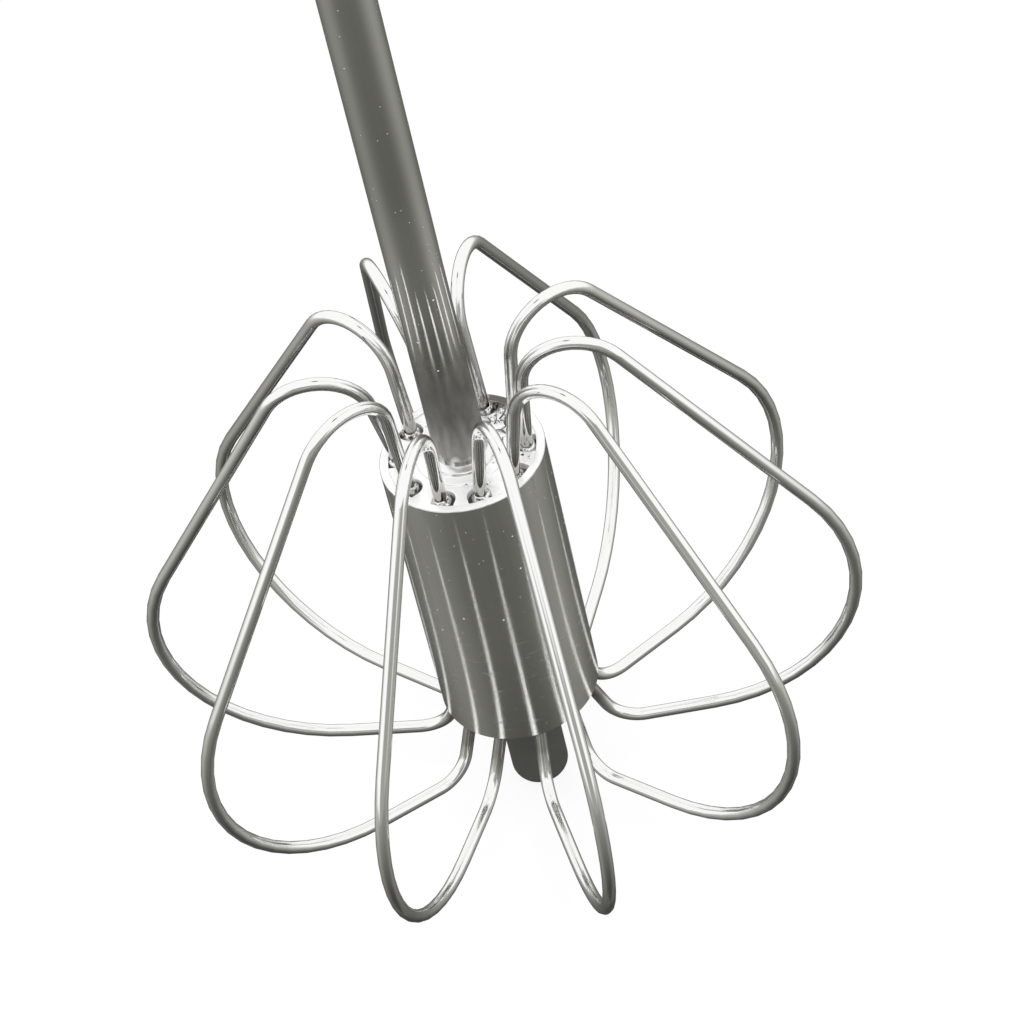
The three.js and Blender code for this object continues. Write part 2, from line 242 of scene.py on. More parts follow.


# bright steel; the frosted faces of the hub have a dark patch of painted shade on the back of the rim,
# near one weld
def brightSteel(name, frosted):
    finish = brightFinish
    material, shader, coords = newMaterial(name, finish["frosted"] if frosted else 1, finish["colour"])
    stain = between(noise(coords, *finish["stain"]), *finish["stained"])
    steel = mixColour(stain, finish["colour"], finish["dull"])
    if frosted:
        # painted shade: a dark, ragged patch on the back of the rim
        shadeSpot = (*polar(rimShadeShape["reach"] * mm, math.radians(rimShadeShape["azimuth"])), hubHigh.z)
        sockets = {0: coords, 1: shadeSpot}
        away = coords.node("ShaderNodeVectorMath", sockets, output="Value", operation="DISTANCE")
        away = away + (noise(coords, *rimShadeShape["edge"]) - 0.5) * rimShadeShape["ragged"] * mm
        steel = mixColour(betweenMm(away, rimShadeShape["radius"]), steel, rimShadeShape["colour"])
    plug(shader, {
        "Base Color": steel,
        "Roughness": finish["roughness"] + stain * finish["stainRough"],
        "Normal": bump(noise(coords, *finish["pits"]), *finish["bump"]),
    })
    return material


weldFinish = {
    "colour": (0.93, 0.93, 0.915, 1),
    "scale": (0.15, 0.147, 0.13, 1),  # the dark skin that welding leaves; also the colour of the painted shade in the notches
    "notchShade": (0.26, 0.44),  # millimetres under the plate's face where the dark scale and painted shade in the notches start and where they are full
    "patch": (900, 3),
    "patches": (0.56, 0.62),
    "roughness": 0.06,
    "scaleRough": 0.25,
    "ripple": (1700, 1),
    "bump": (0.2, 0.2),
}


# welds and drops of spatter: once molten, so smooth, with dark scale in patches, and dark scale with
# painted shade down in the notches, darker with depth
def weldSteel():
    finish = weldFinish
    material, shader, coords = newMaterial("weldSteel", 1, finish["colour"])
    middle = (plateTop + plateBottom) / 2
    height = heightOf(coords) - middle
    # dark scale and painted shade: the deeper under the plate's face, the darker
    notchShade = betweenMm(plateTop - middle - height.most(height * -1), finish["notchShade"])
    # weld scale in random patches, joined with the painted shade in the notches
    scale = notchShade.most(between(noise(coords, *finish["patch"]), *finish["patches"]))
    plug(shader, {
        "Base Color": mixColour(scale, finish["colour"], finish["scale"]),
        "Roughness": finish["roughness"] + scale * finish["scaleRough"],
        "Normal": bump(noise(coords, *finish["ripple"]), *finish["bump"]),
    })
    return material


satinFinish = {
    "colour": (0.65, 0.65, 0.629, 1),
    "worn": (1.0, 1.0, 0.975, 1),
    "wearSpan": (0.88, 0.35),  # how far up the hub, as shares, the wear starts and is full
    "wear": 0.65,
    "mottle": 0.25,
    "grain": (6000,),
    "cloud": (90, 3),
    "drawn": (1800, 2, (1, 1, 0.02)),  # faint lines along the tube
    "dashes": (4600, 2, (0.1, 0.1, 1)),  # scratches round the tube
    "scratched": (0.6, 0.72),
    "freshScratch": 0.3,  # strength of the scratches where nothing is worn
    "fineDust": (0.6, 0.055, 0.2),  # spacing and size in millimetres, and share of the cells
    "coarseDust": (1.6, 0.12, 0.25),
    "speck": (0.65, 0.65, 0.63, 1),
    "roughness": 0.03,
    "cloudRough": 0.09,
    "wornRough": 0.05,
    "grainRough": 0.03,
    "scratchRough": 0.16,
    "dustRough": 0.5,
    "grainRise": 0.4,
    "wornRise": 1.2,
    "drawnRise": 0.6,
    "scratchRise": 0.7,
    "bump": (0.1, 0.05),
}
heatFinish = {
    "colour": (0.26, 0.257, 0.242, 1),
    "pale": (0.46, 0.455, 0.435, 1),
    "low": (0.4, 2.0),  # millimetres over the plate between which the burnt skin starts and ends
    "high": (24, 14),
    "fade": (9, 17),  # the skin is paler towards its top
    "shineLow": (15, 23),  # painted sheen: a brighter band over it
    "shineHigh": (44, 31),
    "edge": (480, 4, (1, 1, 0.3)),
    "ragged": 6.0,
    "paintedSheen": 0.8,
    "blotch": (700, 4, (1, 1, 0.4)),
    "blotched": (0.3, 0.7),
    "blotchPale": 0.7,
    "fadePale": 0.45,
    "roughness": 0.32,
}


# satin tube; the welded end of the shaft has a dull, burnt skin, with a band of painted sheen over it
def satinSteel(name, burnt):
    finish, heat = satinFinish, heatFinish
    material, shader, coords = newMaterial(name, 1, finish["colour"])
    kinds = ("grain", "cloud", "drawn", "dashes")
    grain, cloud, drawn, dashes = (noise(coords, *finish[kind]) for kind in kinds)
    dust = specks(coords, *finish["fineDust"]) + specks(coords, *finish["coarseDust"])
    dust = dust.least(1)
    height = heightOf(coords)
    worn = between(height, *(hubLow.z + (hubHigh.z - hubLow.z) * share for share in finish["wearSpan"]))
    wear = worn * finish["wear"] + (cloud + drawn) * finish["mottle"]
    steel = mixColour(wear, finish["colour"], finish["worn"])
    fresh = finish["freshScratch"]
    scratch = between(dashes, *finish["scratched"]) * (fresh + worn * (1 - fresh))
    roughness = finish["roughness"] + cloud * (finish["cloudRough"] + worn * finish["wornRough"])
    roughness = roughness + grain * finish["grainRough"] + scratch * finish["scratchRough"]
    if burnt:
        ragged = (noise(coords, *heat["edge"]) - 0.5) * heat["ragged"] * mm
        rise = height + ragged - plateTop
        kinds = ("low", "high", "fade", "shineLow", "shineHigh")
        low, high, fade, shineLow, shineHigh = (betweenMm(rise, heat[kind]) for kind in kinds)
        # painted sheen: a band paler than the bare steel over the burnt skin
        steel = mixColour(shineLow * shineHigh * heat["paintedSheen"], steel, finish["worn"])
        skin = low * high
        blotch = between(noise(coords, *heat["blotch"]), *heat["blotched"])
        pale = blotch * heat["blotchPale"] + fade * heat["fadePale"]
        steel = mixColour(skin, steel, mixColour(pale, heat["colour"], heat["pale"]))
        roughness = roughness + skin * skin * heat["roughness"]
    relief = grain * (finish["grainRise"] + worn * finish["wornRise"])
    relief = relief + drawn * finish["drawnRise"] + scratch * finish["scratchRise"]
    plug(shader, {
        "Base Color": mixColour(dust, steel, finish["speck"]),
        "Metallic": 1 - dust,
        "Roughness": roughness + dust * finish["dustRough"],
        "Normal": bump(relief, *finish["bump"]),
    })
    return material


springFinish = {"colour": (0.24, 0.24, 0.25, 1), "roughness": 0.3, "cloud": (700, 3), "waver": 0.15}


def springSteel():
    finish = springFinish
    material, shader, coords = newMaterial("springSteel", 1, finish["colour"])
    cloud = noise(coords, *finish["cloud"])
    plug(shader, {"Roughness": finish["roughness"] + cloud * finish["waver"]})
    return material


brassFinish = {
    "colour": (0.55, 0.38, 0.14, 1),
    "dull": (0.38, 0.26, 0.10, 1),
    "rings": (60, 2, (1, 1, 60)),  # tool marks round the axis
    "roughness": 0.25,
    "waver": 0.15,
}


def turnedBrass():
    finish = brassFinish
    material, shader, coords = newMaterial("turnedBrass", 1, finish["colour"])
    rings = noise(coords, *finish["rings"])
    plug(shader, {
        "Base Color": mixColour(rings, finish["colour"], finish["dull"]),
        "Roughness": finish["roughness"] + rings * finish["waver"],
    })
    return material


nylonFinish = {
    "colour": (0.055, 0.056, 0.048, 1),
    "worn": (0.08, 0.081, 0.071, 1),
    "scuff": (160, 4),
    "grain": (3500,),
    "roughness": 0.5,
    "waver": 0.15,
    "bump": (0.12, 0.05),
}


def darkNylon():
    finish = nylonFinish
    material, shader, coords = newMaterial("darkNylon", 0, finish["colour"])
    grain = noise(coords, *finish["grain"])
    plug(shader, {
        "Base Color": mixColour(noise(coords, *finish["scuff"]), finish["colour"], finish["worn"]),
        "Roughness": finish["roughness"] + grain * finish["waver"],
        "Normal": bump(grain, *finish["bump"]),
    })
    return material


finishes = {
    "polished_wire": polishedWire(),
    "bright_steel": brightSteel("brightSteel", False),
    "satin_steel": satinSteel("satinSteel", False),
    "spring_steel": springSteel(),
    "brass": turnedBrass(),
    "dark_nylon": darkNylon(),
}
facePaint = brightSteel("faceSteel", True)
weldPaint = weldSteel()
shaftPaint = satinSteel("shaftSteel", True)
slotOf = {entry["node"]: entry["material_slot"] for entry in frame["record"]["subparts"]}
for name, node in frame["nodes"].items():
    for materialSlot in node.material_slots:
        materialSlot.material = finishes[slotOf[name]]
print("materials made,", len({*finishes.values(), facePaint, weldPaint, shaftPaint}))


# meshes and pieces

def smoothMesh(shape, name):
    bmesh.ops.remove_doubles(shape, verts=shape.verts, dist=tiny)
    bmesh.ops.recalc_face_normals(shape, faces=shape.faces)
    mesh = bpy.data.meshes.new(name)
    shape.to_mesh(mesh)
    shape.free()
    mesh.shade_smooth()
    mesh.set_sharp_from_angle(angle=sharpAngle)
    return mesh


# the evaluated shape of a maker, which is then removed
def takeMesh(maker, name):
    scene.collection.objects.link(maker)
    graph = bpy.context.evaluated_depsgraph_get()
    mesh = bpy.data.meshes.new_from_object(maker.evaluated_get(graph))
    bpy.data.objects.remove(maker)
    mesh.name = name
    return mesh


def addPiece(name, mesh, body, slot, *nodes):
    piece = bpy.data.objects.new(name, mesh)
    scene.collection.objects.link(piece)
    if not mesh.materials:
        mesh.materials.append(finishes[slot])
    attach(piece, body)
    if nodes:
        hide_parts(*nodes)
    return piece


# a row of (radius, height, fillet) corners with its corners rounded
def rounded(corners, closed=True, steps=5):
    points = []
    count = len(corners)
    for i, (x, y, fillet) in enumerate(corners):
        here = Vector((x, y))
        if fillet == 0 or (not closed and i in (0, count - 1)):
            points.append((x, y))
            continue
        before = (Vector(corners[i - 1][:2]) - here).normalized()
        after = (Vector(corners[(i + 1) % count][:2]) - here).normalized()
        half = before.angle(after) / 2
        centre = here + (before + after).normalized() * fillet / math.sin(half)
        first = here + before * fillet / math.tan(half) - centre
        last = here + after * fillet / math.tan(half) - centre
        start = math.atan2(first.y, first.x)
        sweep = (math.atan2(last.y, last.x) - start + math.pi) % fullTurn - math.pi
        for step in range(steps + 1):
            dx, dy = polar(fillet, start + sweep * step / steps)
            points.append((centre.x + dx, centre.y + dy))
    return points


# half an arch from a radius up to the axis
def domeRow(radius, foot, height, steps):
    turns = [math.pi / 2 * step / steps for step in range(steps)]
    return [(radius * math.cos(a), foot + height * math.sin(a)) for a in turns] + [(0, foot + height)]


# a solid of revolution about Z; a profile that starts off the axis closes on itself
def lathe(profile, sides):
    shape = bmesh.new()
    rings = []
    for radius, height in profile:
        angles = ringAngles(sides) if radius > tiny else [0]
        rings.append([shape.verts.new((*polar(radius, angle), height)) for angle in angles])
    pairs = list(zip(rings, rings[1:]))
    if len(rings[0]) > 1:
        pairs.append((rings[-1], rings[0]))
    for low, high in pairs:
        for i in range(sides):
            j = (i + 1) % sides
            corners = [low[i % len(low)], low[j % len(low)], high[j % len(high)], high[i % len(high)]]
            corners = list(dict.fromkeys(corners))
            if len(corners) > 2:
                shape.faces.new(corners)
    return shape


def radiusOf(node):
    low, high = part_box(node)
    return (high.y - low.y) / 2


def addTurned(name, profile, sides, body, slot, node, *paints):
    mesh = smoothMesh(lathe(profile, sides), name)
    for paint in paints:
        mesh.materials.append(paint)
    return addPiece(name, mesh, body, slot, node)


def addTube(name, node, body, shape, *paints):
    low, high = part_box(node)
    radius = radiusOf(node)
    bore = radius - shape["wall"] * mm
    outer, inner = shape["outerRound"] * mm, shape["innerRound"] * mm
    profile = rounded([
        (bore, low.z, inner),
        (radius, low.z, outer),
        (radius, high.z, outer),
        (bore, high.z, inner),
    ])
    return addTurned(name, profile, shape["sides"], body, "satin_steel", node, *paints)


# geometry trees

def newTree(name, floats, counts, vectors=()):
    tree = bpy.data.node_groups.new(name, "GeometryNodeTree")
    tree.interface.new_socket("Geometry", in_out="INPUT", socket_type="NodeSocketGeometry")
    kinds = {"Float": floats, "Int": counts, "Vector": vectors, "Material": ["Material"]}
    for kind, labels in kinds.items():
        for label in labels:
            tree.interface.new_socket(label, in_out="INPUT", socket_type="NodeSocket" + kind)
    tree.interface.new_socket("Geometry", in_out="OUTPUT", socket_type="NodeSocketGeometry")
    return tree, Flow(tree).node("NodeGroupInput")


def closeTree(entry, geometry):
    whole = entry.node("GeometryNodeRealizeInstances", {0: geometry})
    smooth = entry.node("GeometryNodeSetShadeSmooth", {0: whole})
    dressed = entry.node("GeometryNodeSetMaterial", {0: smooth, "Material": entry.out("Material")})
    entry.node("NodeGroupOutput", {0: dressed})


def runTree(tree, name, base, values):
    maker = bpy.data.objects.new(name + "Maker", base)
    modifier = maker.modifiers.new(name, "NODES")
    modifier.node_group = tree
    for item in tree.interface.items_tree:
        if item.in_out == "INPUT" and item.name in values:
            modifier[item.identifier] = values[item.name]
    return takeMesh(maker, name)


# a round section along a path
def sweepWire(entry, path, sides):
    sockets = {"Resolution": sides, "Radius": entry.out("Wire Radius")}
    section = entry.node("GeometryNodeCurvePrimitiveCircle", sockets)
    sockets = {"Curve": path, "Profile Curve": section, "Fill Caps": True}
    return entry.node("GeometryNodeCurveToMesh", sockets)


# a wire: a row of corners, each with its own bend radius, swept with a round section
def makeWireTree():
    tree, entry = newTree("bentWire", ["Wire Radius"], ["Wire Sides", "Bend Steps"])
    path = entry.node("GeometryNodeMeshToCurve", {"Mesh": entry})
    bend = entry.node("GeometryNodeInputNamedAttribute", {"Name": "bend"}, data_type="FLOAT")
    sockets = {"Curve": path, "Count": entry.out("Bend Steps"), "Radius": bend, "Limit Radius": True}
    path = entry.node("GeometryNodeFilletCurve", sockets, mode="POLY")
    closeTree(entry, sweepWire(entry, path, entry.out("Wire Sides")))
    return tree


wireTree = makeWireTree()


def addWire(name, corners, bends, shape, body, node):
    base = bpy.data.meshes.new(name + "Route")
    edges = [(i, i + 1) for i in range(len(corners) - 1)]
    base.from_pydata([corner * mm for corner in corners], edges, [])
    bend = base.attributes.new("bend", "FLOAT", "POINT")
    for item, radius in zip(bend.data, [0, *bends, 0]):
        item.value = radius * mm
    values = {
        "Wire Radius": shape["wireDiameter"] / 2 * mm,
        "Wire Sides": shape["sides"],
        "Bend Steps": shape["bendSteps"],
        "Material": finishes["polished_wire"],
    }
    addPiece(name, runTree(wireTree, name, base, values), body, "polished_wire", node)


# wire loops
loopShape = {
    "wireDiameter": 1.6,
    "circle": 7.8,
    "tail": 6.1,
    "lead": 0.8,
    "crownLean": 3.1,
    "crownRise": 27.4,
    "rimSpread": 53.8,
    "rimDrop": 5,
    "footLean": 3.5,
    "footDrop": 9.25,
    "bends": [6, 6.5, 22, 4.8, 6],
    "sides": 24,
    "bendSteps": 16,
}
# each loop's own stray, in millimetres: sideways at crown, rim and foot, up at the crown, out at the rim
loopStrays = [
    (-1.5, 0.5, 0, 0, 0),
    (-1.5, 0.5, 0, -0.5, -0.5),
    (2.5, 0.5, -2, 1.5, -0.5),
    (4, -0.5, 0, 1, 1),
    (-1.5, 4, 0, -2.5, 1),
    (4, -1.5, -2, 0, -0.5),
    (4.5, -0.5, 0.5, 3.5, -2),
    (2.5, 0, -1.5, -2.5, 0),
    (3, -2.5, -1.5, -3, 2.5),
    (3, -2.5, -2, -3, 2),
]
loopAngles = ringAngles(len(loopStrays))


def makeLoops():
    shape, circle = loopShape, loopShape["circle"]
    top, bottom = hubHigh.z / mm, hubLow.z / mm
    for i, (crown, rim, foot, lift, reach) in enumerate(loopStrays):
        turn = Matrix.Rotation(loopAngles[i], 3, "Z")
        route = [
            (circle, 0, top - shape["tail"]),
            (circle, 0, top + shape["lead"]),
            (circle + shape["crownLean"], crown, top + shape["crownRise"] + lift),
            (circle + shape["rimSpread"] + reach, rim, bottom - shape["rimDrop"]),
            (circle + shape["footLean"], foot, bottom - shape["footDrop"]),
            (circle, 0, bottom - shape["lead"]),
            (circle, 0, bottom + shape["tail"]),
        ]
        corners = [turn @ Vector(corner) for corner in route]
        addWire(f"wireLoop{i + 1}", corners, shape["bends"], shape, "rotor", f"wire_loop_{i + 1}")


makeLoops()
print("wire loops made,", len(loopStrays))


# hub
sleeveShape = {"wall": 1.1, "outerRound": 0.15, "innerRound": 0.04, "sides": 192, "sawnSlope": 0.9}


def makeSleeve():
    sleeve = addTube("hubSleeve", "hub_sleeve", "rotor", sleeveShape, finishes["satin_steel"], facePaint)
    for face in sleeve.data.polygons:  # the sawn ends
        face.material_index = int(abs(face.normal.z) > sleeveShape["sawnSlope"])


plateShape = {
    "radius": 8.95,
    "drift": [2, 0, -2, 1, 0, -1, 3, 3, -2, 3],  # degrees that each notch is off its place
    "notches": [1.45, 1.45, 1.5, 1.4, 1.5, 1.4, 1.45, 1.4, 1.45, 1.45],
    "hole": 3.25,
    "edge": 0.05,
    "edgeSteps": 2,
    "arcSteps": 14,
    "holeSides": 64,
}


def notchAzimuths():
    return [angle + math.radians(drift) for angle, drift in zip(loopAngles, plateShape["drift"])]


def plateOutline():
    radius, steps = plateShape["radius"], plateShape["arcSteps"]
    azimuths, notches = notchAzimuths(), plateShape["notches"]
    halves = [math.asin(notch / radius) for notch in notches]
    points = []
    for i, (azimuth, notch) in enumerate(zip(azimuths, notches)):
        x, y = polar(loopShape["circle"], azimuth)
        for step in range(steps + 1):
            dx, dy = polar(notch, azimuth - math.pi / 2 - math.pi * step / steps)
            points.append((x + dx, y + dy))
        following = (i + 1) % len(azimuths)
        start = azimuth + halves[i]
        sweep = (azimuths[following] - halves[following] - start) % fullTurn
        points += [polar(radius, start + sweep * step / steps) for step in range(steps + 1)]
    return points


# a disc with a notch for each wire, drawn as a flat curve and made a mesh
def makePlate(name, node):
    low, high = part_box(node)
    edge = plateShape["edge"] * mm
    curve = bpy.data.curves.new(name, "CURVE")
    curve.dimensions = "2D"
    curve.fill_mode = "BOTH"
    curve.extrude = (high.z - low.z) / 2 - edge
    curve.bevel_depth = edge
    curve.bevel_resolution = plateShape["edgeSteps"]
    curve.offset = -edge
    hole = [polar(plateShape["hole"], angle) for angle in ringAngles(plateShape["holeSides"])]
    for outline in (plateOutline(), hole):
        spline = curve.splines.new("POLY")
        spline.points.add(len(outline) - 1)
        spline.use_cyclic_u = True
        for point, (x, y) in zip(spline.points, outline):
            point.co = (x * mm, y * mm, 0, 1)
    shape = bmesh.new()
    shape.from_mesh(takeMesh(bpy.data.objects.new(name + "Drawing", curve), name + "Flat"))
    bmesh.ops.translate(shape, verts=shape.verts, vec=(0, 0, (low.z + high.z) / 2))
    mesh = smoothMesh(shape, name)
    mesh.materials.append(facePaint)
    addPiece(name, mesh, "rotor", "bright_steel", node)


collarShape = {
    "foot": 5.6,
    "footRise": 0.2,
    "footRound": 0.15,
    "sunk": 0.2,
    "neckRound": 0.1,
    "taper": 0.1,
    "shoulder": 0.35,
    "rise": 0.8,
    "round": 0.3,
    "sides": 96,
}


# the low ring round the shaft, on a wide foot
def makeCollar():
    size = {key: value * mm for key, value in collarShape.items() if key != "sides"}
    bore, outer = radiusOf("shaft_tube"), radiusOf("hub_collar")
    footTop = plateTop + size["footRise"]
    profile = rounded([
        (bore, plateTop - size["sunk"], 0),
        (size["foot"], plateTop - size["sunk"], 0),
        (size["foot"], footTop, size["footRound"]),
        (outer, footTop, size["neckRound"]),
        (outer - size["taper"], footTop + size["shoulder"], size["round"]),
        (bore, plateTop + size["rise"], 0),
    ])
    collar = addTurned("hubCollar", profile, collarShape["sides"], "rotor", "bright_steel", "hub_collar",
                       finishes["bright_steel"], facePaint)
    for face in collar.data.polygons:  # the foot is frosted like the plate
        face.material_index = int(face.center.xy.length > outer)


def pointMesh(name, points):
    mesh = bpy.data.meshes.new(name)
    mesh.from_pydata(points, [], [])
    return mesh


# makes the copies real and moves every point a little, by the tree's own Waver
def roughen(entry, copies, scale):
    whole = entry.node("GeometryNodeRealizeInstances", {0: copies})
    where = entry.node("GeometryNodeInputPosition")
    sockets = {"Vector": where, "Scale": scale, "Detail": 1.0}
    rough = entry.node("ShaderNodeTexNoise", sockets, output="Color")
    centred = entry.node("ShaderNodeVectorMath", {0: rough, 1: (0.5, 0.5, 0.5)}, operation="SUBTRACT")
    sockets = {0: centred, "Scale": entry.out("Waver")}
    shift = entry.node("ShaderNodeVectorMath", sockets, operation="SCALE")
    return entry.node("GeometryNodeSetPosition", {"Geometry": whole, "Offset": shift})


def randomSpin(entry, least, most):
    turns = {"Seed": entry.out("Seed")}
    for key, angles in {"Min": least, "Max": most}.items():
        turns[key] = entry.node("ShaderNodeCombineXYZ", angles)
    return entry.node("FunctionNodeRandomValue", turns, data_type="FLOAT_VECTOR")


def randomSize(entry, least, most):
    sockets = {2: least, 3: most, "Seed": entry.out("Seed")}
    return entry.node("FunctionNodeRandomValue", sockets, output=1)


weldShape = {
    "foot": 2.15,
    "neck": 0.84,
    "sunk": 1.1,
    "rise": 1.35,
    "hollow": 0.16,
    "sides": 40,
    "rows": 14,
    "endRows": 3,
    "waver": 0.42,
    "lumps": 1300.0,  # scale of the noise that roughens them
    "seed": 7,
}


# welds: a rough, hollow-sided cone round each wire, down in its notch
def makeWeldTree():
    tree, entry = newTree("wireWelds", ["Foot", "Neck", "Rise", "Hollow", "Waver", "Tip Over"], ["Seed"])
    sockets = {"Vertices": weldShape["sides"], "Side Segments": weldShape["rows"],
               "Fill Segments": weldShape["endRows"], "Radius Top": entry.out("Neck"),
               "Radius Bottom": entry.out("Foot"), "Depth": entry.out("Rise")}
    cone = entry.node("GeometryNodeMeshCone", sockets, fill_type="TRIANGLE_FAN")
    where = entry.node("GeometryNodeInputPosition")
    share = heightOf(where) / entry.out("Rise")
    waist = 1 - 4 * share * (1 - share) * entry.out("Hollow")
    squeeze = entry.node("ShaderNodeCombineXYZ", {"X": waist, "Y": waist, "Z": 1.0})
    place = entry.node("ShaderNodeVectorMath", {0: where, 1: squeeze}, operation="MULTIPLY")
    cone = entry.node("GeometryNodeSetPosition", {"Geometry": cone, "Position": place})
    tipOver = entry.out("Tip Over")
    spin = randomSpin(entry, {"X": tipOver, "Z": 0.0}, {"X": tipOver, "Z": fullTurn})
    sockets = {"Points": entry, "Instance": cone, "Rotation": spin}
    lumps = entry.node("GeometryNodeInstanceOnPoints", sockets)
    closeTree(entry, roughen(entry, lumps, weldShape["lumps"]))
    return tree


def makeWelds():
    tree = makeWeldTree()
    sunk, circle = weldShape["sunk"] * mm, loopShape["circle"] * mm
    seats = {"topWelds": (plateTop - sunk, 0.0), "bottomWelds": (plateBottom + sunk, math.pi)}
    for name, (height, tipOver) in seats.items():
        values = {
            "Foot": weldShape["foot"] * mm,
            "Neck": weldShape["neck"] * mm,
            "Rise": weldShape["rise"] * mm,
            "Hollow": weldShape["hollow"],
            "Waver": weldShape["waver"] * mm,
            "Tip Over": tipOver,
            "Seed": weldShape["seed"],
            "Material": weldPaint,
        }
        base = pointMesh(name + "Base", [(*polar(circle, angle), height) for angle in loopAngles])
        addPiece(name, runTree(tree, name, base, values), "rotor", "bright_steel")


spatterShape = {
    "count": 60,
    "nearest": 4.6,
    "farthest": 8.6,
    "sector": (-15, 105),  # degrees; most drops lie on this side
    "strays": 0.2,
    "notchGap": 0.25,
    "size": 0.42,
    "sizes": (0.2, 1.0),  # smallest and largest, as shares of size
    "flat": 0.6,
    "detail": 3,
    "waver": 0.25,
    "lumps": 2500.0,
    "seed": 11,
}


# weld spatter: small drops of steel on the top plate
def makeSpatterTree():
    tree, entry = newTree("weldSpatter", ["Drop Size", "Flatness", "Waver"], ["Seed"])
    sockets = {"Radius": entry.out("Drop Size"), "Subdivisions": spatterShape["detail"]}
    drop = entry.node("GeometryNodeMeshIcoSphere", sockets)
    size = randomSize(entry, *spatterShape["sizes"])
    scale = entry.node("ShaderNodeCombineXYZ", {"X": size, "Y": size, "Z": size * entry.out("Flatness")})
    sockets = {"Points": entry, "Instance": drop, "Scale": scale}
    drops = entry.node("GeometryNodeInstanceOnPoints", sockets)
    closeTree(entry, roughen(entry, drops, spatterShape["lumps"]))
    return tree


def onPlate(reach, azimuth, gap):
    place = Vector(polar(reach, azimuth))
    for turn, notch in zip(notchAzimuths(), plateShape["notches"]):
        middle = Vector(polar(1, turn)) * loopShape["circle"]
        if (place - middle).length < notch + gap:
            return False
    return True


# places on the top plate, clear of the notches
def platePoints(shape):
    pick = random.Random(shape["seed"])
    first, last = (math.radians(angle) for angle in shape["sector"])
    points = []
    while len(points) < shape["count"]:
        reach = pick.uniform(shape["nearest"], shape["farthest"])
        astray = pick.random() <= shape["strays"]
        azimuth = pick.uniform(0, fullTurn) if astray else pick.uniform(first, last)
        if onPlate(reach, azimuth, shape["notchGap"]):
            x, y = polar(reach, azimuth)
            points.append((x * mm, y * mm, plateTop))
    return points


def addScattered(name, tree, shape, slot, values):
    base = pointMesh(name + "Base", platePoints(shape))
    values = {**values, "Waver": shape["waver"] * mm, "Seed": shape["seed"]}
    addPiece(name, runTree(tree, name, base, values), "rotor", slot)


def makeSpatter():
    values = {
        "Drop Size": spatterShape["size"] * mm,
        "Flatness": spatterShape["flat"],
        "Material": weldPaint,
    }
    addScattered("weldSpatter", makeSpatterTree(), spatterShape, "bright_steel", values)


whiskerShape = {
    "count": 30,
    "nearest": 4.3,
    "farthest": 8.4,
    "sector": (15, 80),
    "strays": 0,
    "notchGap": 0.1,
    "curl": 0.8,
    "sizes": (0.5, 1.4),  # smallest and largest, as shares of curl
    "thickness": 0.15,
    "sweep": 170,
    "tilt": 40,
    "steps": 14,
    "sides": 6,
    "waver": 0.3,
    "lumps": 1400.0,
    "seed": 5,
}


# whiskers: fine curls of dark wire that the welding left on the plate
def makeWhiskerTree():
    tree, entry = newTree("weldWhiskers", ["Curl", "Sweep", "Wire Radius", "Tilt", "Waver"], ["Seed"])
    sockets = {"Resolution": whiskerShape["steps"], "Radius": entry.out("Curl"),
               "Sweep Angle": entry.out("Sweep")}
    curl = sweepWire(entry, entry.node("GeometryNodeCurveArc", sockets), whiskerShape["sides"])
    tilt, back = entry.out("Tilt"), entry.out("Tilt") * -1
    spin = randomSpin(entry, {"X": back, "Y": back}, {"X": tilt, "Y": tilt, "Z": fullTurn})
    size = randomSize(entry, *whiskerShape["sizes"])
    sockets = {"Points": entry, "Instance": curl, "Rotation": spin, "Scale": size}
    curls = entry.node("GeometryNodeInstanceOnPoints", sockets)
    closeTree(entry, roughen(entry, curls, whiskerShape["lumps"]))
    return tree


def makeWhiskers():
    values = {
        "Curl": whiskerShape["curl"] * mm,
        "Sweep": math.radians(whiskerShape["sweep"]),
        "Wire Radius": whiskerShape["thickness"] / 2 * mm,
        "Tilt": math.radians(whiskerShape["tilt"]),
        "Material": finishes["spring_steel"],
    }
    addScattered("weldWhiskers", makeWhiskerTree(), whiskerShape, "spring_steel", values)


makeSleeve()
makePlate("hubTopPlate", "hub_top_plate")
makePlate("hubBottomPlate", "hub_bottom_plate")
makeCollar()
makeWelds()
makeSpatter()
makeWhiskers()
print("hub made")


# shaft and tip
shaftShape = {"wall": 0.6, "outerRound": 0.15, "innerRound": 0.15, "sides": 128}
tipShape = {
    "round": 2.2,
    "topRound": 0.3,
    "stem": 2.3,
    "stemRound": 0.4,
    "gap": 0.05,
    "steps": 10,
    "sides": 96,
}


def makeTip():
    low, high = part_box("foot_tip")
    radius, stem = radiusOf("foot_tip"), tipShape["stem"] * mm
    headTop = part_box("shaft_tube")[0].z - tipShape["gap"] * mm
    profile = rounded([
        (0, low.z, 0),
        (radius, low.z, tipShape["round"] * mm),
        (radius, headTop, tipShape["topRound"] * mm),
        (stem, headTop, 0),
        (stem, high.z, tipShape["stemRound"] * mm),
        (0, high.z, 0),
    ], closed=False, steps=tipShape["steps"])
    addTurned("footTip", profile, tipShape["sides"], "rotor", "dark_nylon", "foot_tip")


addTube("shaftTube", "shaft_tube", "rotor", shaftShape, shaftPaint)
makeTip()
print("shaft and tip made")


# handle
handleShape = {"wall": 0.8, "outerRound": 0.35, "innerRound": 0, "sides": 160}
plugShape = {"fit": 0.05, "gap": 0.1, "round": 0.3}  # the bush and the cap in the tube's ends
bushShape = {"round": 1.2, "mouth": 0.6, "flangeRound": 0.2, "clearance": 0.25, "sides": 128}
capShape = {"dome": 6.0, "rimRound": 0.25, "steps": 24, "sides": 128}


def plugRadius():
    return radiusOf("handle_tube") - (handleShape["wall"] + plugShape["fit"]) * mm


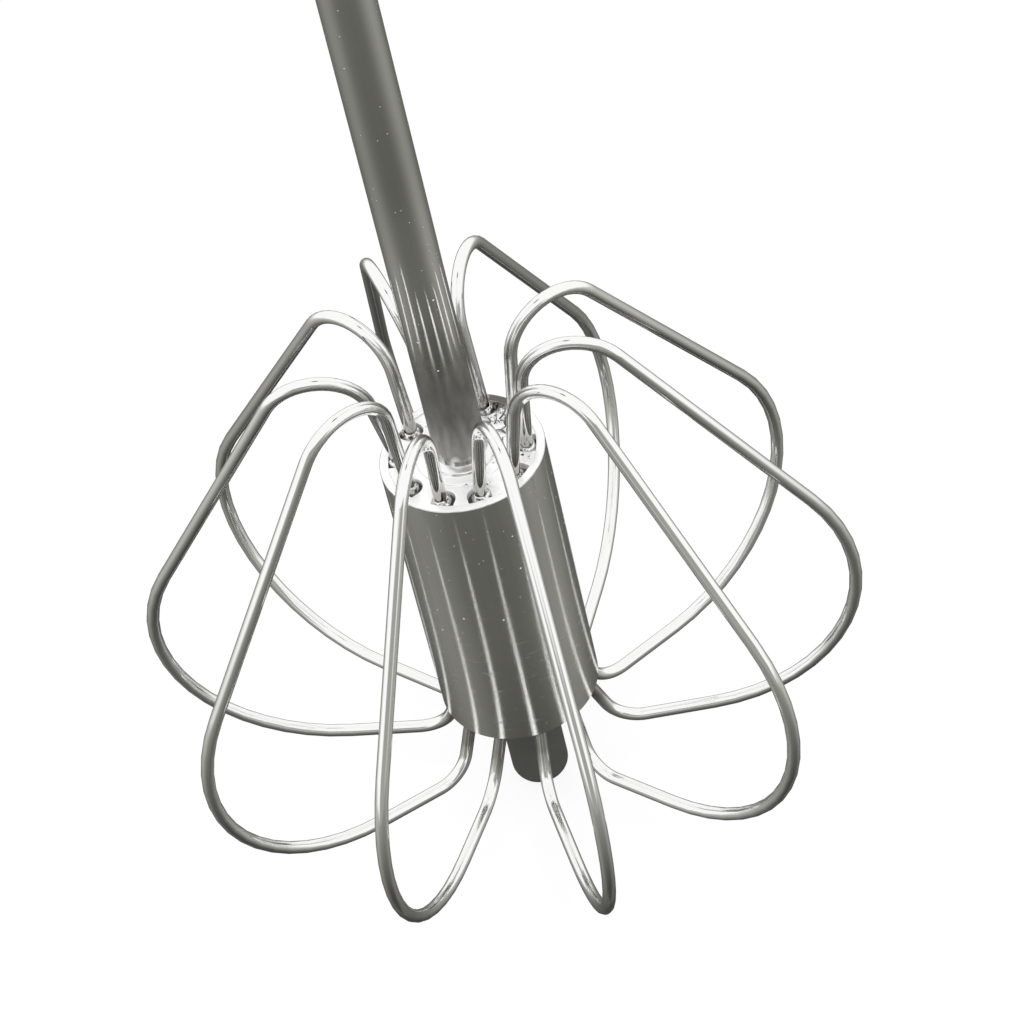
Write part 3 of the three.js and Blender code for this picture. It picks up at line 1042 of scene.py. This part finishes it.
def makeBush():
    low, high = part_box("guide_bush")
    radius, spigot, edge = radiusOf("guide_bush"), plugRadius(), plugShape["round"] * mm
    bore = radiusOf("shaft_tube") + bushShape["clearance"] * mm
    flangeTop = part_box("handle_tube")[0].z - plugShape["gap"] * mm
    profile = rounded([
        (bore, low.z, bushShape["mouth"] * mm),
        (radius, low.z, bushShape["round"] * mm),
        (radius, flangeTop, bushShape["flangeRound"] * mm),
        (spigot, flangeTop, 0),
        (spigot, high.z, edge),
        (bore, high.z, edge),
    ])
    addTurned("guideBush", profile, bushShape["sides"], "handle", "dark_nylon", "guide_bush")


def makeCap():
    low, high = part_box("handle_cap")
    radius, spigot, dome = radiusOf("handle_cap"), plugRadius(), capShape["dome"] * mm
    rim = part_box("handle_tube")[1].z + plugShape["gap"] * mm
    domeFoot = high.z - dome
    skirt = rounded([
        (0, low.z, 0),
        (spigot, low.z, plugShape["round"] * mm),
        (spigot, rim, 0),
        (radius, rim, capShape["rimRound"] * mm),
        (radius, domeFoot, 0),
    ], closed=False)
    profile = skirt[:-1] + domeRow(radius, domeFoot, dome, capShape["steps"])
    addTurned("handleCap", profile, capShape["sides"], "handle", "dark_nylon", "handle_cap")


rivetShape = {"shank": 1.25, "headHeight": 1.0, "steps": 8, "sides": 48}


# a rivet through the tube, with a domed head at each end
def makeRivet():
    low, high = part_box("anchor_rivet")
    shank, rise = rivetShape["shank"] * mm, rivetShape["headHeight"] * mm
    top = domeRow(radiusOf("anchor_rivet"), high.x - rise, rise, rivetShape["steps"])
    bottom = [(radius, -height) for radius, height in reversed(top)]
    shape = lathe([*bottom, (shank, rise - high.x), (shank, high.x - rise), *top], rivetShape["sides"])
    turn = Matrix.Translation((0, 0, (low.z + high.z) / 2)) @ Matrix.Rotation(math.pi / 2, 4, "Y")
    bmesh.ops.transform(shape, matrix=turn, verts=shape.verts)
    addPiece("anchorRivet", smoothMesh(shape, "anchorRivet"), "handle", "bright_steel", "anchor_rivet")


screwShape = {
    "shank": 1.0,
    "headHeight": 1.1,
    "slotWidth": 0.5,
    "slotDepth": 0.55,
    "steps": 8,
    "sides": 48,
}


# a screw in the bush, with a slot across its domed head
def makeBushScrew():
    low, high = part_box("bush_screw")
    head = (high.x - low.x) / 2
    shank, rise = screwShape["shank"] * mm, screwShape["headHeight"] * mm
    dome = domeRow(head, high.y - rise / 2, rise / 2, screwShape["steps"])
    foot = [(0, low.y), (shank, low.y), (shank, high.y - rise), (head, high.y - rise)]
    turn = Matrix.Translation((0, 0, (low.z + high.z) / 2)) @ Matrix.Rotation(-math.pi / 2, 4, "X")
    whole, slot = lathe(foot + dome, screwShape["sides"]), bmesh.new()
    size = (4 * head, screwShape["slotWidth"] * mm, 2 * screwShape["slotDepth"] * mm)  # past both sides
    place = Matrix.Translation((0, 0, high.y)) @ Matrix.Diagonal((*size, 1))
    bmesh.ops.create_cube(slot, size=1, matrix=place)
    makers = []
    for name, shape in (("bushScrewMaker", whole), ("slotMaker", slot)):
        bmesh.ops.transform(shape, matrix=turn, verts=shape.verts)
        makers.append(bpy.data.objects.new(name, smoothMesh(shape, name)))
    screwMaker, slotMaker = makers
    scene.collection.objects.link(slotMaker)
    cut = screwMaker.modifiers.new("slot", "BOOLEAN")
    cut.object, cut.operation, cut.solver = slotMaker, "DIFFERENCE", "EXACT"
    mesh = takeMesh(screwMaker, "bushScrew")
    bpy.data.objects.remove(slotMaker)
    mesh.set_sharp_from_angle(angle=sharpAngle)
    addPiece("bushScrew", mesh, "handle", "bright_steel", "bush_screw")


hangShape = {"wireDiameter": 2.4, "width": 12, "bend": 5.5, "sides": 24, "bendSteps": 16}


def makeHangLoop():
    low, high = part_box("hang_loop")
    half, bottom = hangShape["width"] / 2, low.z / mm
    top = high.z / mm - hangShape["wireDiameter"] / 2
    route = ((-half, bottom), (-half, top), (half, top), (half, bottom))
    corners = [Vector((x, 0, z)) for x, z in route]
    addWire("hangLoop", corners, [hangShape["bend"]] * 2, hangShape, "handle", "hang_loop")


addTube("handleTube", "handle_tube", "handle", handleShape)
makeBush()
makeBushScrew()
makeCap()
makeRivet()
makeHangLoop()
print("handle made")


# spiral drive, inside the handle
stripShape = {"width": 4.44, "thickness": 1.2, "lead": 40.0, "flatEnd": 11.7, "columns": 5, "rows": 180}


# a flat bar, turned about its length; its upper end stays flat
def makeStripTree():
    tree, entry = newTree("twistedStrip", ["Middle", "Twist Top", "Lead"], ["Columns", "Rows"], ["Size"])
    sockets = {"Size": entry.out("Size"), "Vertices X": entry.out("Columns"), "Vertices Y": 2,
               "Vertices Z": entry.out("Rows")}
    bar = entry.node("GeometryNodeMeshCube", sockets)
    lift = entry.node("ShaderNodeCombineXYZ", {"Z": entry.out("Middle")})
    bar = entry.node("GeometryNodeSetPosition", {"Geometry": bar, "Offset": lift})
    where = entry.node("GeometryNodeInputPosition")
    below = heightOf(where) - entry.out("Twist Top")
    turns = below.least(0) / entry.out("Lead")
    sockets = {"Vector": where, "Angle": turns * fullTurn + math.pi / 2}
    place = entry.node("ShaderNodeVectorRotate", sockets, rotation_type="Z_AXIS")
    closeTree(entry, entry.node("GeometryNodeSetPosition", {"Geometry": bar, "Position": place}))
    return tree


def makeStrip():
    low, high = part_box("drive_strip")
    values = {
        "Size": (stripShape["width"] * mm, stripShape["thickness"] * mm, high.z - low.z),
        "Middle": (low.z + high.z) / 2,
        "Twist Top": high.z - stripShape["flatEnd"] * mm,
        "Lead": stripShape["lead"] * mm,
        "Columns": stripShape["columns"],
        "Rows": stripShape["rows"],
        "Material": finishes["satin_steel"],
    }
    mesh = runTree(makeStripTree(), "driveStrip", bpy.data.meshes.new("stripBase"), values)
    mesh.set_sharp_from_angle(angle=sharpAngle)
    addPiece("driveStrip", mesh, "handle", "satin_steel", "drive_strip")


springShape = {
    "wire": 1.0,
    "coils": 16,
    "endPitch": 1.05,
    "stepsPerCoil": 48,
    "sides": 16,
    "pressed": 1 / 3,  # of its length, at the end of the push
}


# a coil spring whose first and last coils lie closed
def makeSpringTree():
    sizes = ["Coils", "Radius", "Foot", "End Pitch", "Extra Pitch", "Wire Radius"]
    tree, entry = newTree("coilSpring", sizes, ["Steps", "Wire Sides"])
    coils = entry.out("Coils")
    sockets = {"Resolution": entry.out("Steps"), "Rotations": coils, "Start Radius": entry.out("Radius"),
               "End Radius": entry.out("Radius"), "Height": 0.0}
    path = entry.node("GeometryNodeCurveSpiral", sockets)
    turn = entry.node("GeometryNodeSplineParameter", output="Factor") * coils
    free = (turn - 1).most(0).least(coils - 2)
    height = turn * entry.out("End Pitch") + free * entry.out("Extra Pitch") + entry.out("Foot")
    lift = entry.node("ShaderNodeCombineXYZ", {"Z": height})
    path = entry.node("GeometryNodeSetPosition", {"Geometry": path, "Offset": lift})
    closeTree(entry, sweepWire(entry, path, entry.out("Wire Sides")))
    return tree


def makeSpring():
    low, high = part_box("return_spring")
    wire, coils, pitch = springShape["wire"] * mm, springShape["coils"], springShape["endPitch"] * mm
    spare = high.z - low.z - wire - coils * pitch
    values = {
        "Coils": float(coils),
        "Steps": springShape["stepsPerCoil"],
        "Radius": radiusOf("return_spring") - wire / 2,
        "Foot": low.z + wire / 2,
        "End Pitch": pitch,
        "Extra Pitch": spare / (coils - 2),
        "Wire Radius": wire / 2,
        "Wire Sides": springShape["sides"],
        "Material": finishes["spring_steel"],
    }
    mesh = runTree(makeSpringTree(), "returnSpring", bpy.data.meshes.new("springBase"), values)
    spring = addPiece("returnSpring", mesh, "handle", "spring_steel", "return_spring")
    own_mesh(spring)


makeStrip()
makeSpring()
print("drive made")


# stage: a pale floor, white surroundings with a grey ground for reflections, and two soft lamps
floorShape = {
    "colour": (0.88, 0.88, 0.88, 1),
    "radius": 6.0,  # metres
    "sides": 96,
    "drop": 1.0,
    "glow": 0.9,  # round the whisk, where its shadow lies; farther out the floor is white
    "shadowReach": (0.06, 0.3),  # metres
}


# what the camera sees itself, and what it sees in a mirror or through glass
def seenMask(tree):
    rays = Flow(tree).node("ShaderNodeLightPath", output="Is Camera Ray")
    return rays, rays.out("Is Glossy Ray").most(rays.out("Is Transmission Ray"))


def makeFloor():
    material = bpy.data.materials.new("floorPaint")
    material.use_nodes = True
    material.cycles.emission_sampling = "NONE"
    tree = material.node_tree
    tree.nodes.clear()
    direct, mirrored = seenMask(tree)
    matte = direct.node("ShaderNodeBsdfDiffuse", {"Color": floorShape["colour"]})
    glow = direct.node("ShaderNodeEmission", {"Strength": 1.0})
    reach = lengthOf(direct.node("ShaderNodeTexCoord", output="Object"))
    away = between(reach, *floorShape["shadowReach"])
    whiteness = floorShape["glow"] + away * (1 - floorShape["glow"])
    shown = direct.node("ShaderNodeMixShader", {0: whiteness, 1: matte, 2: glow})
    whole = direct.node("ShaderNodeMixShader", {0: direct + mirrored, 1: matte, 2: shown})
    direct.node("ShaderNodeOutputMaterial", {"Surface": whole})
    shape = bmesh.new()
    radius, sides = floorShape["radius"], floorShape["sides"]
    bmesh.ops.create_circle(shape, cap_ends=True, segments=sides, radius=radius)
    mesh = bpy.data.meshes.new("floor")
    shape.to_mesh(mesh)
    shape.free()
    mesh.materials.append(material)
    floor = bpy.data.objects.new("floor", mesh)
    floor.location.z = -floorShape["drop"] * mm
    floor.visible_glossy = False  # the steel mirrors the world's grey ground instead
    scene.collection.objects.link(floor)


worldShape = {
    "level": 0.5,  # as a lamp
    "front": -82,  # azimuth of the camera's side
    "groundBelow": 0.057,  # grey of the mirrored ground, straight down and near the horizon
    "groundFar": 0.285,
    "groundSpan": (-0.93, -0.1),  # heights of the mirrored ray, from -1 straight down to 0
    "sideGain": 1.05,  # the ground is paler at both sides, the right one more
    "rightGain": 0.15,
    "haze": 0.2,  # depth of the pale band at the horizon, and how much deeper it is behind
    "hazeBehind": 0.25,
    "hazeTop": 0.03,
    "screen": 0.35,  # the grey screen round the camera
    "screenSide": (0.77, 0.9),
    "screenTop": (0.5, 0.42),
    "tint": (1.0, 0.99, 0.89, 1),
}


# what steel mirrors: white above, ground that darkens downwards, and a grey screen round the camera
def mirroredShade(tree):
    shape = worldShape
    way = Flow(tree).node("ShaderNodeTexCoord", output="Generated")
    east = way.node("ShaderNodeSeparateXYZ", {0: way}, output="X")
    north, height = east.out("Y"), east.out("Z")
    widen = 1 / height.maths("POWER", 1.0001 - height * height, 0.5)  # finite straight up, too
    frontX, frontY = polar(1, math.radians(shape["front"]))
    facing = (east * frontX + north * frontY) * widen
    right = (north * frontX - east * frontY) * widen
    sides = right * right * right * right
    ground = between(height, *shape["groundSpan"]) * (shape["groundFar"] - shape["groundBelow"])
    ground = shape["groundBelow"] + ground
    ground = ground * (1 + sides * (shape["sideGain"] + right * shape["rightGain"]))
    behind = (facing * -1).most(0)
    haze = between(height, behind * -shape["hazeBehind"] - shape["haze"], shape["hazeTop"])
    surroundings = ground + (1 - ground) * haze * haze
    mask = between(facing, *shape["screenSide"]) * between(height, *shape["screenTop"])
    return surroundings.least(1 - mask * (1 - shape["screen"]))


# white where it is seen, grey ground where it is mirrored, and dimmer as a lamp
def makeWorld():
    world = bpy.data.worlds.new("studioWorld")
    scene.world = world
    world.use_nodes = True
    world.cycles.sampling_method = "NONE"
    tree = world.node_tree
    tree.nodes.clear()
    direct, mirrored = seenMask(tree)
    shade = mirroredShade(tree)
    level = worldShape["level"]
    strength = level + direct * (1 - level) + mirrored * (shade - level)
    colour = mixColour(shade.most(1 - mirrored), worldShape["tint"], (1, 1, 1, 1))
    back = strength.node("ShaderNodeBackground", {"Color": colour, "Strength": strength})
    back.node("ShaderNodeOutputWorld", {"Surface": back})


lampShape = {  # metres
    "backSoftbox": {"place": (-0.25, 0.85, 0.90), "size": 1.1, "watts": 9.0},
    "frontSoftbox": {"place": (0.15, -0.55, 1.15), "size": 1.0, "watts": 15.0},
}


def makeLamps():
    for name, settings in lampShape.items():
        lamp = bpy.data.lights.new(name, "AREA")
        lamp.shape = "SQUARE"
        lamp.size = settings["size"]
        lamp.energy = settings["watts"]
        holder = bpy.data.objects.new(name, lamp)
        holder.location = settings["place"]
        aim = Vector((0, 0, hubHigh.z)) - holder.location
        holder.rotation_euler = aim.to_track_quat("-Z", "Y").to_euler()
        holder.visible_glossy = False  # the steel mirrors the white surroundings alone
        scene.collection.objects.link(holder)


cameraShape = {
    "place": (59.78, -303.42, 346.71),
    "aim": (5.04, -5.08, 51.88),
    "roll": -13.812,
    "lens": 125.815,
    "sensor": 36.0,
    "clip": (0.01, 100),  # metres
}


def makeCamera():
    camera = bpy.data.cameras.new("photoCamera")
    camera.lens = cameraShape["lens"]
    camera.sensor_width = cameraShape["sensor"]
    camera.sensor_fit = "HORIZONTAL"
    camera.clip_start, camera.clip_end = cameraShape["clip"]
    holder = bpy.data.objects.new("photoCamera", camera)
    place = Vector(cameraShape["place"]) * mm
    forward = (Vector(cameraShape["aim"]) * mm - place).normalized()
    right = forward.cross(Vector((0, 0, 1))).normalized()
    right = Matrix.Rotation(math.radians(cameraShape["roll"]), 3, -forward) @ right
    up = right.cross(forward)
    basis = Matrix((right, up, -forward)).transposed().to_4x4()
    holder.matrix_world = Matrix.Translation(place) @ basis
    scene.collection.objects.link(holder)
    scene.camera = holder


makeFloor()
makeWorld()
makeLamps()
makeCamera()
print("stage made")
